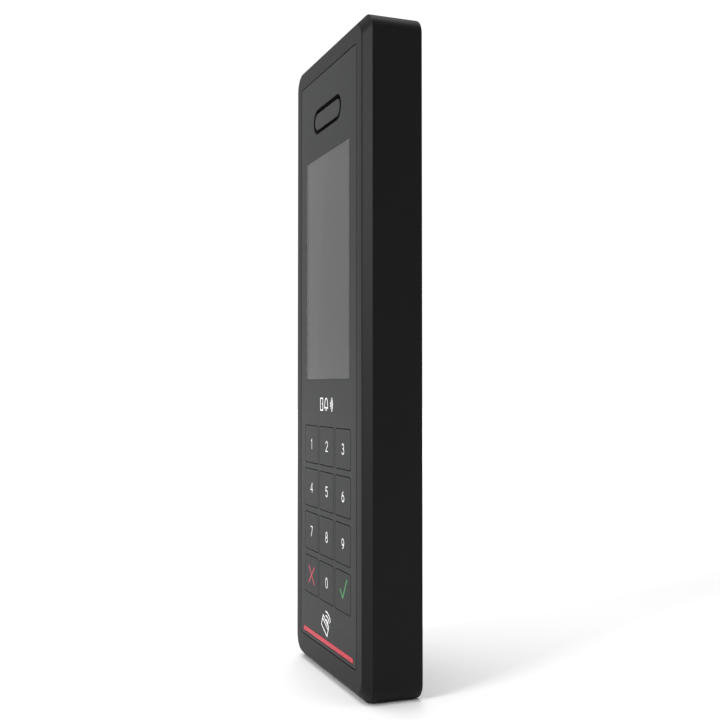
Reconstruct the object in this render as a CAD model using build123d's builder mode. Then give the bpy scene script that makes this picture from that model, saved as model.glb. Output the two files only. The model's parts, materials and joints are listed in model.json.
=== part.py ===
# Wall-mounted door-entry terminal: housing, front panel, screen, camera, keypad, card reader,
# main board, rear cover and wall bracket. Millimetres. The wall is the plane Y = 0, the front
# faces -Y, +Z is up, and the origin is the centre of the four wall screws.
# A "depth" is a distance in front of the wall, so a larger depth is nearer to the user.

import os

from build123d import *

# Housing
body_width = 101.4
body_height = 307.6
body_depth = 28.0
corner_radius = 7.6
front_bevel = 3.8
bevel_softening = 0.45
back_round = 0.8
side_wall = 3.0
rim_wall = 1.5
rim_depth = 5.7
fit_gap = 0.2

# Front panel and the ledge that it is bonded to
bezel_side = 10.65
bezel_top = 12.41
bezel_bottom = 13.69
panel_thickness = 3.0
panel_radius = 1.6
panel_gap = 0.35
panel_chamfer = 0.25
ledge_width = 3.0
ledge_thickness = 3.0
bond_thickness = 0.5
opening_chamfer = 0.12

# Screen
screen_width = 62.1
screen_height = 110.4
screen_drop = 18.57
window_thickness = 0.9
glass_border = 2.2
glass_thickness = 1.6
backlight_border = 3.0
backlight_foot = 1.1
backlight_thickness = 1.6
frame_thickness = 0.8
frame_screw_length = 2.9

# Camera pill
pill_length = 40.4
pill_height = 12.4
pill_drop = 22.35
island_length = 36.5
island_height = 8.3
island_thickness = 2.0
island_round = 0.5
groove_depth = 6.5
holder_wall = 1.2
holder_floor = 1.5
holder_flange = 1.0
holder_flange_width = 2.2
sound_hole_radius = 0.7
sound_hole_pitch = 5.5

# Keypad
key_width = 20.4
key_height = 18.5
key_radius = 1.1
key_spacing_x = 2.44
key_spacing_z = 3.43
keypad_drop = 23.38
key_gap_x = 0.2
key_gap_z = 0.3
key_proud = 0.03
key_edge_round = 0.15
key_travel = 0.8
key_lip = 0.6
key_lip_thickness = 1.0
stop_gap = 0.2
post_radius = 1.6
switch_size = 6.2
switch_height = 2.0
well_gap = 0.3
well_floor = 0.4
post_end_gap = 0.15
board_thickness = 1.6
mat_margin = 0.7

# Light bar and card reader
bar_length = 72.0
bar_height = 2.3
bar_rise = 3.0
bar_gap = 0.1
bar_lip = 0.8
bar_lip_thickness = 0.8
led_height = 0.8
strip_thickness = 1.0
antenna_width = 66.0
antenna_height = 36.0
antenna_drop = 8.5
antenna_thickness = 1.0
spacer_thickness = 1.4
ferrite_thickness = 0.4

# Main board
main_board_back = 11.0
main_board_side_gap = 4.7
main_board_foot_gap = 18.8
main_board_head_gap = 7.5
board_post_inset = 7.3
board_post_end = 10.0
board_post_middle_z = -40.0
board_post_radius = 2.6
flex_width = 20.0
flex_thickness = 0.3
flex_drop = 4.5
flex_run = 10.5
flex_socket_height = 2.4

# Rear cover, cable entry and wall bracket
cover_thickness = 2.0
cover_screw_inset = 3.7
cover_screw_end = 11.8
cover_boss_radius = 3.4
entry_width = 44.0
entry_height = 56.0
entry_z = 30.0
entry_seal_width = 3.0
bracket_thickness = 1.5
bracket_side_gap = 7.2
bracket_head_gap = 14.3
bracket_foot_gap = 2.8
wall_screw_spacing_x = 60.0
wall_screw_spacing_z = 180.0
wall_screw_hole_radius = 2.4
hook_x = 24.0
hook_z = 104.0
hook_width = 9.0
hook_lip = 4.0
hook_gap = 0.4
tongue_width = 22.0
tongue_reach = 12.0
security_screw_depth = 9.0

# Fasteners and small parts
m2_shaft = 0.95
m2_head = 1.9
m2_head_height = 1.3
m3_shaft = 1.45
m3_head = 2.75
m3_head_height = 1.5
screw_gap = 0.05
through_gap = 0.25
speaker_width = 40.0
speaker_height = 27.0
speaker_gasket_thickness = 1.0
speaker_depth = 7.0
mic_radius = 3.0
mic_length = 2.6
mic_x = -24.0
mic_depth = 13.0
mic_boot_wall = 1.4
mic_hole_radius = 0.8
tamper_x = -30.0
tamper_z = -62.0
plunger_radius = 1.6
plunger_travel = 1.0

# Depths that follow from the sizes above
panel_back = body_depth - panel_thickness
ledge_front = panel_back - bond_thickness
ledge_back = ledge_front - ledge_thickness
window_back = body_depth - window_thickness
glass_back = window_back - glass_thickness
backlight_back = glass_back - backlight_thickness
frame_back = backlight_back - frame_thickness
groove_floor = body_depth - groove_depth
holder_back = groove_floor - holder_floor
lip_back = panel_back - key_lip_thickness
switch_front = lip_back - key_travel - stop_gap
keypad_board_front = switch_front - switch_height
keypad_board_back = keypad_board_front - board_thickness
post_end = keypad_board_front + well_floor + post_end_gap + key_travel
bar_lip_back = panel_back - bar_lip_thickness
strip_front = bar_lip_back - led_height
antenna_front = keypad_board_back - spacer_thickness
antenna_back = antenna_front - antenna_thickness
main_board_front = main_board_back + board_thickness
cover_front = rim_depth - bond_thickness
cover_back = cover_front - cover_thickness

# Places and sizes that follow, from the top of the panel downwards
panel_width = body_width - 2 * bezel_side
panel_height = body_height - bezel_top - bezel_bottom
panel_raise = (bezel_bottom - bezel_top) / 2
panel_top = panel_raise + panel_height / 2
panel_bottom = panel_raise - panel_height / 2
pill_z = panel_top - pill_drop
screen_z = pill_z - screen_drop - screen_height / 2
key_pitch_x = key_width + key_spacing_x
key_pitch_z = key_height + key_spacing_z
key_top_row_z = screen_z - screen_height / 2 - keypad_drop - key_height / 2
bar_z = panel_bottom + bar_rise
inner_width = body_width - 2 * side_wall
inner_height = body_height - 2 * side_wall
inner_radius = corner_radius - side_wall
rim_width = body_width - 2 * rim_wall
rim_height = body_height - 2 * rim_wall
rim_radius = corner_radius - rim_wall
window_opening_width = panel_width - 2 * ledge_width
window_opening_height = panel_height - 2 * ledge_width
backlight_width = screen_width + 2 * backlight_border
backlight_height = screen_height + 2 * backlight_border + backlight_foot
key_columns = (-key_pitch_x, 0.0, key_pitch_x)
key_rows = tuple(key_top_row_z - row * key_pitch_z for row in range(4))
key_centres = [(x, z) for z in key_rows for x in key_columns]
keypad_z = (key_rows[0] + key_rows[-1]) / 2
opening_width = key_width + 2 * key_gap_x
opening_height = key_height + 2 * key_gap_z
lip_width = opening_width + 2 * key_lip
lip_height = opening_height + 2 * key_lip
mat_width = 2 * key_pitch_x + lip_width + mat_margin
mat_height = 3 * key_pitch_z + lip_height + mat_margin
bar_strip_width = bar_length + 2 * bar_lip
bar_strip_height = bar_height + 2 * bar_lip
antenna_z = key_rows[-1] - antenna_drop
main_board_width = inner_width - 2 * main_board_side_gap
main_board_top = pill_z - speaker_height / 2 - main_board_head_gap
main_board_bottom = main_board_foot_gap - inner_height / 2
main_board_height = main_board_top - main_board_bottom
main_board_z = (main_board_top + main_board_bottom) / 2
bracket_width = rim_width - 2 * bracket_side_gap
bracket_top = rim_height / 2 - bracket_head_gap
bracket_bottom = bracket_foot_gap - rim_height / 2

# Screw places
m2_boss_radius = 2.3
frame_screw_x = 27.5
frame_screw_rise = backlight_height / 2 + m2_boss_radius + 0.6
frame_screws = [
    (x, screen_z + rise)
    for x in (-frame_screw_x, frame_screw_x)
    for rise in (-frame_screw_rise, frame_screw_rise)
]
holder_screw_x = pill_length / 2 + holder_flange_width + 3.2
holder_screws = [(-holder_screw_x, pill_z), (holder_screw_x, pill_z)]
keypad_screw_rise = mat_height / 2 + m2_boss_radius + 0.4
keypad_screws_at = [
    (x, keypad_z + rise)
    for x in (-key_pitch_x, 0.0, key_pitch_x)
    for rise in (-keypad_screw_rise, keypad_screw_rise)
]
board_post_x = inner_width / 2 - board_post_inset
board_post_rows = (main_board_bottom + board_post_end, board_post_middle_z, main_board_top - board_post_end)
board_posts = [(x, z) for x in (-board_post_x, board_post_x) for z in board_post_rows]
cover_screw_x = inner_width / 2 - cover_screw_inset
cover_screw_z = inner_height / 2 - cover_screw_end
cover_screw_rows = (-cover_screw_z, 0.0, cover_screw_z)
cover_bosses = [(x, z) for x in (-cover_screw_x, cover_screw_x) for z in cover_screw_rows]
wall_screws = [
    (x, z)
    for x in (-wall_screw_spacing_x / 2, wall_screw_spacing_x / 2)
    for z in (-wall_screw_spacing_z / 2, wall_screw_spacing_z / 2)
]


# Outlines. Each lies in the plane at a depth in front of the wall and extrudes towards the user.
def rectangles(width, height, depth, radius=0.0, at=((0.0, 0.0),)):
    with BuildSketch(Plane.XZ.offset(depth)) as outline:
        with Locations(*at):
            if radius > 0:
                RectangleRounded(width, height, radius)
            else:
                Rectangle(width, height)
    return outline.sketch


def circles(radius, depth, at=((0.0, 0.0),)):
    with BuildSketch(Plane.XZ.offset(depth)) as outline:
        with Locations(*at):
            Circle(radius)
    return outline.sketch


def pills(length, height, depth, at=((0.0, 0.0),)):
    with BuildSketch(Plane.XZ.offset(depth)) as outline:
        with Locations(*at):
            SlotOverall(length, height)
    return outline.sketch


def front_edges(part):
    return part.faces().sort_by(Axis.Y)[0].edges()


# A pan-head screw seen from behind: the head lies behind head_front, the shaft runs forward.
def make_screws(at, head_front, shaft, shaft_length, head, head_height):
    with BuildPart() as screws:
        extrude(circles(head, head_front - head_height, at), amount=head_height)
        extrude(circles(shaft, head_front, at), amount=shaft_length)
        with BuildSketch(Plane.XZ.offset(head_front - head_height)) as socket:
            with Locations(*at):
                RegularPolygon(head * 0.5, 6)
        extrude(socket.sketch, amount=head_height * 0.6, mode=Mode.SUBTRACT)
    return screws


def save(builder, name):
    builder.part.label = name
    export_step(builder.part, f"parts/{name}.step")


os.makedirs("parts", exist_ok=True)

# Front housing: a deep frame with a 45 degree bevel, a bonding ledge for the panel, screw bosses
# for the rear cover, posts for the main board and a rim that the rear cover sinks into.
notch_height = 2.0 * (bar_z - panel_bottom) - 0.3
bevel_foot = body_depth - front_bevel
face_width = body_width - 2 * front_bevel
face_height = body_height - 2 * front_bevel
side_outline = rectangles(body_width, body_height, bevel_foot, corner_radius)
face_outline = rectangles(face_width, face_height, body_depth, corner_radius)
with BuildPart() as front_housing:
    extrude(rectangles(body_width, body_height, 0, corner_radius), amount=bevel_foot)
    loft([side_outline.face(), face_outline.face()], ruled=True)
    fillet(front_housing.faces().sort_by(Axis.Y)[-1].edges(), back_round)
    foot_edges = front_housing.edges().filter_by_position(Axis.Y, -bevel_foot - 0.01, 0.01 - bevel_foot)
    fillet(foot_edges + front_edges(front_housing), bevel_softening)
    extrude(
        rectangles(rim_width, rim_height, 0, rim_radius),
        amount=rim_depth,
        mode=Mode.SUBTRACT,
    )
    extrude(
        rectangles(inner_width, inner_height, 0, inner_radius),
        amount=ledge_back,
        mode=Mode.SUBTRACT,
    )
    extrude(
        rectangles(window_opening_width, window_opening_height, ledge_back, 1.0, [(0, panel_raise)]),
        amount=ledge_thickness,
        mode=Mode.SUBTRACT,
    )
    extrude(
        rectangles(bar_strip_width + 0.4, notch_height, ledge_back, 0.5, [(0, bar_z)]),
        amount=ledge_thickness,
        mode=Mode.SUBTRACT,
    )
    extrude(
        rectangles(
            panel_width + 2 * panel_gap,
            panel_height + 2 * panel_gap,
            ledge_front,
            panel_radius + panel_gap,
            [(0, panel_raise)],
        ),
        amount=panel_thickness + bond_thickness,
        mode=Mode.SUBTRACT,
    )
    extrude(circles(board_post_radius, main_board_front, board_posts), amount=ledge_back - main_board_front)
    extrude(circles(cover_boss_radius, cover_front, cover_bosses), amount=ledge_back - cover_front)
    extrude(
        circles(m3_shaft + screw_gap, main_board_front, board_posts),
        amount=6.5,
        mode=Mode.SUBTRACT,
    )
    extrude(
        circles(m3_shaft + screw_gap, cover_front, cover_bosses),
        amount=8.0,
        mode=Mode.SUBTRACT,
    )
    # Microphone hole and security screw hole, both through the bottom wall
    with Locations(Location((mic_x, -mic_depth, -body_height / 2))):
        Cylinder(mic_hole_radius, 2 * side_wall + 1, mode=Mode.SUBTRACT)
    with Locations(Location((0, -security_screw_depth, -body_height / 2))):
        Cylinder(m3_shaft + through_gap, 2 * side_wall + 1, mode=Mode.SUBTRACT)
        Cylinder(m3_head + through_gap, 2 * (m3_head_height + 0.2), mode=Mode.SUBTRACT)
save(front_housing, "front_housing")

# Adhesive gasket between the ledge and the panel
gasket_inset = 0.4
with BuildPart() as panel_gasket:
    extrude(
        rectangles(
            panel_width - 2 * gasket_inset,
            panel_height - 2 * gasket_inset,
            ledge_front,
            panel_radius,
            [(0, panel_raise)],
        ),
        amount=bond_thickness,
    )
    extrude(
        rectangles(window_opening_width, window_opening_height, ledge_front, 1.0, [(0, panel_raise)]),
        amount=bond_thickness,
        mode=Mode.SUBTRACT,
    )
    extrude(
        rectangles(bar_strip_width + 0.4, notch_height, ledge_front, 0.5, [(0, bar_z)]),
        amount=bond_thickness,
        mode=Mode.SUBTRACT,
    )
save(panel_gasket, "panel_gasket")

# Front panel: openings for the screen, camera pill, keys and light bar, a rear pocket for the
# display and bosses for the screws that hold what lies behind.
keypad_boss_height = panel_back - keypad_board_front
frame_boss_height = panel_back - backlight_back
with BuildPart() as front_panel:
    extrude(
        rectangles(panel_width, panel_height, panel_back, panel_radius, [(0, panel_raise)]),
        amount=panel_thickness,
    )
    chamfer(front_edges(front_panel), panel_chamfer)
    extrude(circles(m2_boss_radius, keypad_board_front, keypad_screws_at), amount=keypad_boss_height)
    extrude(circles(m2_boss_radius, backlight_back, frame_screws), amount=frame_boss_height)
    extrude(
        rectangles(screen_width, screen_height, panel_back, 0, [(0, screen_z)]),
        amount=panel_thickness,
        mode=Mode.SUBTRACT,
    )
    extrude(
        rectangles(
            backlight_width + 2 * fit_gap,
            backlight_height + 2 * fit_gap,
            panel_back,
            0.5,
            [(0, screen_z)],
        ),
        amount=panel_thickness - window_thickness,
        mode=Mode.SUBTRACT,
    )
    extrude(
        pills(pill_length, pill_height, panel_back, [(0, pill_z)]),
        amount=panel_thickness,
        mode=Mode.SUBTRACT,
    )
    extrude(
        rectangles(opening_width, opening_height, panel_back, key_radius + key_gap_x, key_centres),
        amount=panel_thickness,
        mode=Mode.SUBTRACT,
    )
    extrude(
        pills(bar_length + 2 * bar_gap, bar_height + 2 * bar_gap, panel_back, [(0, bar_z)]),
        amount=panel_thickness,
        mode=Mode.SUBTRACT,
    )
    extrude(
        circles(m2_shaft + screw_gap, keypad_board_front, keypad_screws_at),
        amount=keypad_boss_height + 1.0,
        mode=Mode.SUBTRACT,
    )
    extrude(
        circles(m2_shaft + screw_gap, backlight_back, frame_screws),
        amount=frame_screw_length - frame_thickness + fit_gap,
        mode=Mode.SUBTRACT,
    )
    extrude(
        circles(m2_shaft + screw_gap, panel_back, holder_screws),
        amount=2.1,
        mode=Mode.SUBTRACT,
    )
    front_holes = ShapeList(front_panel.faces().sort_by(Axis.Y)[0].inner_wires())
    hole_edges = ShapeList([edge for wire in front_holes for edge in wire.edges()])
    chamfer(hole_edges, opening_chamfer)
save(front_panel, "front_panel")

# Clear window in the panel, display glass, backlight and the sheet frame that holds them
with BuildPart() as display_window:
    extrude(
        rectangles(screen_width - 0.1, screen_height - 0.1, window_back, 0, [(0, screen_z)]),
        amount=window_thickness,
    )
save(display_window, "display_window")

with BuildPart() as display_glass:
    extrude(
        rectangles(
            screen_width + 2 * glass_border,
            screen_height + 2 * glass_border,
            glass_back,
            0.4,
            [(0, screen_z)],
        ),
        amount=glass_thickness,
    )
save(display_glass, "display_glass")

with BuildPart() as display_backlight:
    extrude(
        rectangles(backlight_width, backlight_height, backlight_back, 0.5, [(0, screen_z)]),
        amount=backlight_thickness,
    )
save(display_backlight, "display_backlight")

frame_window = (screen_width - 16.0, screen_height - 24.0)
with BuildPart() as display_frame:
    extrude(
        rectangles(backlight_width, backlight_height, frame_back, 1.0, [(0, screen_z)]),
        amount=frame_thickness,
    )
    ear_reach = frame_screw_rise - backlight_height / 2
    ears = [(x, z - (ear_reach / 2 if z > screen_z else -ear_reach / 2)) for x, z in frame_screws]
    extrude(rectangles(6.0, ear_reach, frame_back, 0, ears), amount=frame_thickness)
    extrude(circles(3.0, frame_back, frame_screws), amount=frame_thickness)
    extrude(
        circles(m2_shaft + through_gap, frame_back, frame_screws),
        amount=frame_thickness,
        mode=Mode.SUBTRACT,
    )
    extrude(
        rectangles(*frame_window, frame_back, 3.0, [(0, screen_z)]),
        amount=frame_thickness,
        mode=Mode.SUBTRACT,
    )
save(display_frame, "display_frame")

# Camera window: the pill-shaped island in the groove
with BuildPart() as camera_window:
    extrude(
        pills(island_length, island_height, body_depth - island_thickness, [(0, pill_z)]),
        amount=island_thickness,
    )
    fillet(front_edges(camera_window), island_round)
save(camera_window, "camera_window")

# Camera holder: a cup behind the pill opening, with a hollow boss that carries the island and
# sound holes in the floor of the groove
camera_pocket = (island_length - 2 * holder_wall, island_height - 2 * holder_wall)
island_back = body_depth - island_thickness
sound_row = (pill_height + island_height) / 4
sound_holes = [
    (column * sound_hole_pitch, pill_z + side * sound_row)
    for column in range(-2, 3)
    for side in (-1, 1)
]
with BuildPart() as camera_holder:
    cup = (pill_length + 2 * holder_wall, pill_height + 2 * holder_wall)
    extrude(pills(*cup, holder_back, [(0, pill_z)]), amount=panel_back - holder_back)
    flange = (pill_length + 2 * holder_flange_width, pill_height + 2 * holder_flange_width)
    extrude(pills(*flange, panel_back - holder_flange, [(0, pill_z)]), amount=holder_flange)
    ear_length = 2 * (holder_screw_x + 2.6)
    extrude(pills(ear_length, 5.2, panel_back - holder_flange, [(0, pill_z)]), amount=holder_flange)
    extrude(
        pills(pill_length, pill_height, groove_floor, [(0, pill_z)]),
        amount=panel_back - groove_floor,
        mode=Mode.SUBTRACT,
    )
    extrude(
        pills(island_length, island_height, groove_floor, [(0, pill_z)]),
        amount=island_back - groove_floor,
    )
    extrude(
        pills(*camera_pocket, groove_floor, [(0, pill_z)]),
        amount=island_back - groove_floor,
        mode=Mode.SUBTRACT,
    )
    extrude(
        circles(sound_hole_radius, holder_back, sound_holes),
        amount=holder_floor,
        mode=Mode.SUBTRACT,
    )
    extrude(
        circles(m2_shaft + through_gap, panel_back - holder_flange, holder_screws),
        amount=holder_flange,
        mode=Mode.SUBTRACT,
    )
save(camera_holder, "camera_holder")

camera_board_front = groove_floor + 1.0
with BuildPart() as camera_board:
    extrude(
        pills(camera_pocket[0] - fit_gap, camera_pocket[1] - fit_gap, groove_floor, [(0, pill_z)]),
        amount=camera_board_front - groove_floor,
    )
save(camera_board, "camera_board")

camera_base = 5.4
with BuildPart() as camera_module:
    extrude(
        rectangles(camera_base, camera_base, camera_board_front, 0.3, [(0, pill_z)]),
        amount=1.2,
    )
    extrude(circles(2.5, camera_board_front + 1.2, [(0, pill_z)]), amount=2.0)
    extrude(
        circles(1.3, camera_board_front + 2.8, [(0, pill_z)]),
        amount=0.4,
        mode=Mode.SUBTRACT,
    )
save(camera_module, "camera_module")

lamp_places = [(x, pill_z) for x in (-12.0, -7.0, 7.0, 12.0)]
with BuildPart() as camera_lamps:
    extrude(rectangles(3.0, 2.8, camera_board_front, 0.2, lamp_places), amount=0.8)
save(camera_lamps, "camera_lamps")

# Loudspeaker behind the camera holder, sealed to it by a foam ring
speaker_front = holder_back - speaker_gasket_thickness
with BuildPart() as speaker_gasket:
    extrude(
        rectangles(speaker_width, cup[1], speaker_front, 5.0, [(0, pill_z)]),
        amount=speaker_gasket_thickness,
    )
    extrude(
        rectangles(speaker_width - 6.0, cup[1] - 2.4, speaker_front, 4.0, [(0, pill_z)]),
        amount=speaker_gasket_thickness,
        mode=Mode.SUBTRACT,
    )
save(speaker_gasket, "speaker_gasket")

basket_thickness = 2.4
with BuildPart() as loudspeaker:
    extrude(
        rectangles(
            speaker_width,
            speaker_height,
            speaker_front - basket_thickness,
            8.0,
            [(0, pill_z)],
        ),
        amount=basket_thickness,
    )
    extrude(
        circles(9.0, speaker_front - speaker_depth, [(0, pill_z)]),
        amount=speaker_depth - basket_thickness,
    )
    extrude(
        pills(speaker_width - 8.0, speaker_height - 8.0, speaker_front - 0.8, [(0, pill_z)]),
        amount=0.8,
        mode=Mode.SUBTRACT,
    )
save(loudspeaker, "loudspeaker")

# Microphone in a rubber boot over the hole in the bottom wall
boot_floor = 1.0
boot_height = mic_length + boot_floor
wall_inside_z = -body_height / 2 + side_wall
with BuildPart() as microphone_boot:
    with BuildSketch(Plane.XY.offset(wall_inside_z)) as boot_outline:
        with Locations((mic_x, -mic_depth)):
            Circle(mic_radius + mic_boot_wall)
    extrude(amount=boot_height)
    with BuildSketch(Plane.XY.offset(wall_inside_z)) as boot_hole:
        with Locations((mic_x, -mic_depth)):
            Circle(mic_hole_radius)
    extrude(amount=boot_floor, mode=Mode.SUBTRACT)
    with BuildSketch(Plane.XY.offset(wall_inside_z + boot_floor)) as boot_bore:
        with Locations((mic_x, -mic_depth)):
            Circle(mic_radius)
    extrude(amount=mic_length, mode=Mode.SUBTRACT)
save(microphone_boot, "microphone_boot")

with BuildPart() as microphone:
    with BuildSketch(Plane.XY.offset(wall_inside_z + boot_floor)) as capsule:
        with Locations((mic_x, -mic_depth)):
            Circle(mic_radius - 0.02)
    extrude(amount=mic_length)
save(microphone, "microphone")

# Twelve keys. Each has a cap in its opening, a lip behind the panel and a post into its switch.
key_names = ["1", "2", "3", "4", "5", "6", "7", "8", "9", "cancel", "0", "confirm"]
for key_name, centre in zip(key_names, key_centres):
    with BuildPart() as key:
        extrude(
            rectangles(key_width, key_height, panel_back, key_radius, [centre]),
            amount=panel_thickness + key_proud,
        )
        fillet(front_edges(key), key_edge_round)
        extrude(
            rectangles(lip_width, lip_height, lip_back, key_radius, [centre]),
            amount=key_lip_thickness,
        )
        extrude(circles(post_radius, post_end, [centre]), amount=lip_back - post_end)
    save(key, f"key_{key_name}")

# Silicone mat round the switches: it cushions the keys at the end of their travel
with BuildPart() as keypad_mat:
    extrude(
        rectangles(mat_width, mat_height, keypad_board_front, 2.0, [(0, keypad_z)]),
        amount=switch_height,
    )
    extrude(
        rectangles(switch_size + 0.5, switch_size + 0.5, keypad_board_front, 0.5, key_centres),
        amount=switch_height,
        mode=Mode.SUBTRACT,
    )
save(keypad_mat, "keypad_mat")

with BuildPart() as key_switches:
    extrude(
        rectangles(switch_size, switch_size, keypad_board_front, 0.4, key_centres),
        amount=switch_height,
    )
    extrude(
        circles(post_radius + well_gap, keypad_board_front + well_floor, key_centres),
        amount=switch_height - well_floor,
        mode=Mode.SUBTRACT,
    )
save(key_switches, "key_switches")

keypad_board_height = 2 * (keypad_screw_rise + m2_boss_radius + 0.4)
with BuildPart() as keypad_board:
    extrude(
        rectangles(mat_width, keypad_board_height, keypad_board_back, 2.0, [(0, keypad_z)]),
        amount=board_thickness,
    )
    extrude(
        circles(m2_shaft + through_gap, keypad_board_back, keypad_screws_at),
        amount=board_thickness,
        mode=Mode.SUBTRACT,
    )
save(keypad_board, "keypad_board")

# Light bar and its strip of lamps
with BuildPart() as light_bar:
    extrude(pills(bar_length, bar_height, panel_back, [(0, bar_z)]), amount=panel_thickness)
    fillet(front_edges(light_bar), 0.3)
    extrude(
        pills(bar_strip_width, bar_strip_height, bar_lip_back, [(0, bar_z)]),
        amount=bar_lip_thickness,
    )
save(light_bar, "light_bar")

bar_lamp_places = [(column * 10.4, bar_z) for column in range(-3, 4)]
with BuildPart() as light_bar_lamps:
    extrude(rectangles(3.5, 2.8, strip_front, 0.2, bar_lamp_places), amount=led_height)
save(light_bar_lamps, "light_bar_lamps")

with BuildPart() as light_bar_board:
    extrude(
        rectangles(
            bar_strip_width,
            bar_strip_height,
            strip_front - strip_thickness,
            0.5,
            [(0, bar_z)],
        ),
        amount=strip_thickness,
    )
save(light_bar_board, "light_bar_board")

# Card reader: a coil board on a foam spacer behind the keypad board, backed by a ferrite sheet
reader_screws = [(x, z) for x, z in keypad_screws_at if z < keypad_z]
with BuildPart() as antenna_spacer:
    extrude(
        rectangles(antenna_width, antenna_height, antenna_front, 1.0, [(0, antenna_z)]),
        amount=spacer_thickness,
    )
    extrude(
        circles(m2_head + 0.5, antenna_front, reader_screws),
        amount=spacer_thickness,
        mode=Mode.SUBTRACT,
    )
save(antenna_spacer, "antenna_spacer")

coil_window = (antenna_width - 24.0, antenna_height - 20.0)
with BuildPart() as reader_antenna:
    extrude(
        rectangles(antenna_width, antenna_height, antenna_back, 1.0, [(0, antenna_z)]),
        amount=antenna_thickness,
    )
    extrude(
        rectangles(*coil_window, antenna_back, 1.0, [(0, antenna_z)]),
        amount=antenna_thickness,
        mode=Mode.SUBTRACT,
    )
save(reader_antenna, "reader_antenna")

with BuildPart() as ferrite_sheet:
    extrude(
        rectangles(
            antenna_width,
            antenna_height,
            antenna_back - ferrite_thickness,
            1.0,
            [(0, antenna_z)],
        ),
        amount=ferrite_thickness,
    )
save(ferrite_sheet, "ferrite_sheet")

# Main board with what stands on it
with BuildPart() as main_board:
    extrude(
        rectangles(main_board_width, main_board_height, main_board_back, 2.0, [(0, main_board_z)]),
        amount=board_thickness,
    )
    extrude(
        circles(cover_boss_radius + 0.6, main_board_back, cover_bosses),
        amount=board_thickness,
        mode=Mode.SUBTRACT,
    )
    extrude(
        circles(m3_shaft + through_gap, main_board_back, board_posts),
        amount=board_thickness,
        mode=Mode.SUBTRACT,
    )
save(main_board, "main_board")

with BuildPart() as processor_shield:
    extrude(rectangles(32.0, 30.0, main_board_front, 1.0, [(0, 62.0)]), amount=2.6)
    fillet(front_edges(processor_shield), 0.5)
save(processor_shield, "processor_shield")

chip_sizes = [(9.0, 9.0, -27.0, 62.0), (7.0, 5.0, 27.0, 70.0), (7.0, 5.0, 27.0, 56.0), (10.0, 6.5, 0.0, 36.0)]
chip_sizes += [(12.0, 8.0, -22.0, -48.0), (6.0, 6.0, 20.0, -60.0), (9.0, 9.0, 4.0, -74.0)]
with BuildPart() as board_chips:
    for chip_width, chip_height, chip_x, chip_z in chip_sizes:
        extrude(
            rectangles(chip_width, chip_height, main_board_front, 0.2, [(chip_x, chip_z)]),
            amount=1.4,
        )
save(board_chips, "board_chips")

with BuildPart() as capacitors:
    extrude(
        circles(4.0, main_board_front, [(26.0, 8.0), (26.0, 20.0), (26.0, 32.0)]),
        amount=8.0,
    )
    fillet(capacitors.faces().filter_by(Axis.Y).sort_by(Axis.Y)[:3].edges(), 0.5)
save(capacitors, "capacitors")

with BuildPart() as relay:
    extrude(rectangles(20.0, 10.5, main_board_front, 0.4, [(-24.0, 20.0)]), amount=8.4)
    fillet(front_edges(relay), 0.3)
save(relay, "relay")

flex_top_z = screen_z - backlight_height / 2
flex_socket_z = flex_top_z - flex_run
with BuildPart() as board_sockets:
    extrude(
        rectangles(flex_width + 4.0, 5.0, main_board_front, 0.3, [(0, flex_socket_z)]),
        amount=flex_socket_height,
    )
    extrude(
        rectangles(14.0, 4.5, main_board_front, 0.3, [(-26.0, 92.0), (20.0, 90.0), (-20.0, -30.0)]),
        amount=flex_socket_height,
    )
save(board_sockets, "board_sockets")

# Flat flexible circuit from the foot of the backlight to its socket on the main board
flex_start_depth = panel_back - flex_thickness
with BuildPart() as display_cable:
    with BuildSketch(Plane.YZ) as flex_profile:
        with BuildLine() as flex_line:
            FilletPolyline(
                (-flex_start_depth, flex_top_z),
                (-flex_start_depth, flex_top_z - flex_drop),
                (-main_board_front - flex_socket_height - 3.0, flex_top_z - flex_drop),
                (-main_board_front - flex_socket_height - 3.0, flex_socket_z),
                (-main_board_front - flex_socket_height, flex_socket_z),
                radius=1.2,
            )
        trace(line_width=flex_thickness)
    extrude(amount=flex_width / 2, both=True)
save(display_cable, "display_cable")

# Connectors that the installer reaches through the cable entry
terminal_x = -10.0
connector_z = entry_z + 19.0
terminal_height = 7.0
terminal_ways = 5
terminal_pitch = 3.8
with BuildPart() as terminal_block:
    way_places = [
        (terminal_x + (way - (terminal_ways - 1) / 2) * terminal_pitch, connector_z)
        for way in range(terminal_ways)
    ]
    extrude(
        rectangles(terminal_ways * terminal_pitch, 12.0, main_board_back, 0, [(terminal_x, connector_z)]),
        amount=-terminal_height,
    )
    clamp_screw_places = [(x, z + 2.6) for x, z in way_places]
    extrude(
        circles(1.3, main_board_back - terminal_height, clamp_screw_places),
        amount=1.2,
        mode=Mode.SUBTRACT,
    )
    with BuildSketch(Plane.XY.offset(connector_z - 6.0)) as wire_mouths:
        with Locations(*[(x, 3.2 - main_board_back) for x, z in way_places]):
            Rectangle(2.6, 3.0)
    extrude(amount=5.0, mode=Mode.SUBTRACT)
save(terminal_block, "terminal_block")

socket_x = 11.5
socket_height = 8.4
with BuildPart() as network_socket:
    extrude(
        rectangles(15.6, 13.0, main_board_back, 0, [(socket_x, connector_z)]),
        amount=-socket_height,
    )
    with BuildSketch(Plane.XY.offset(connector_z - 6.5)) as plug_mouth:
        with Locations((socket_x, socket_height / 2 - main_board_back)):
            Rectangle(11.8, 6.6)
    extrude(amount=11.0, mode=Mode.SUBTRACT)
save(network_socket, "network_socket")

# Tamper switch on the back of the main board; its plunger rests on the wall bracket
tamper_at = [(tamper_x, tamper_z)]
tamper_height = main_board_back - cover_front - 0.6
plunger_well = 3.2
with BuildPart() as tamper_switch:
    extrude(rectangles(7.0, 7.0, main_board_back, 0.5, tamper_at), amount=-tamper_height)
    extrude(
        circles(plunger_radius + well_gap, main_board_back - tamper_height, tamper_at),
        amount=plunger_well,
        mode=Mode.SUBTRACT,
    )
save(tamper_switch, "tamper_switch")

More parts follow.
